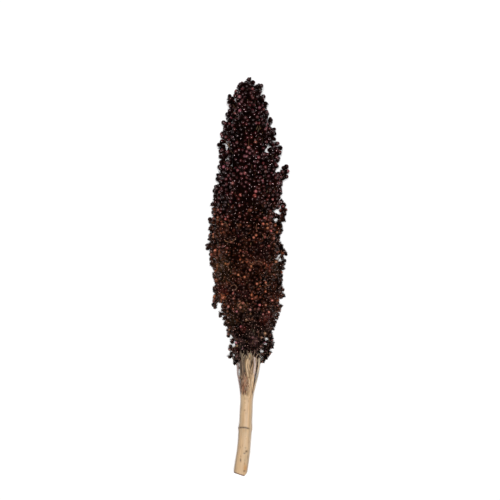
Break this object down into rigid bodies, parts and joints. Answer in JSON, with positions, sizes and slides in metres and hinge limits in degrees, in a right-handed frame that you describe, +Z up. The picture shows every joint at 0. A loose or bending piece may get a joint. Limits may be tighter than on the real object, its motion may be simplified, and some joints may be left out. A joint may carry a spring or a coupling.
{
  "type": "sorghum seed head",
  "caption": "Dried sorghum seed head, cut with its stalk and lying on its side: a long dense spindle of dark red-brown grains on a pale straw stalk with a leaf ring.",
  "frame": {"origin": "on the surface that the head lies on, under the middle of its box", "axes": "+Y along the head from the cut stalk to the tip, +X across it to the right in the picture, +Z up from the surface"},
  "size_m": [0.0742, 0.3604, 0.0561],
  "materials": {
    "straw": "dry straw, satin",
    "grain": "dry grain husks, satin with small highlights"
  },
  "bodies": {
    "root": {"stalk": "straw", "seed_head": "grain"}
  },
  "joints": []
}
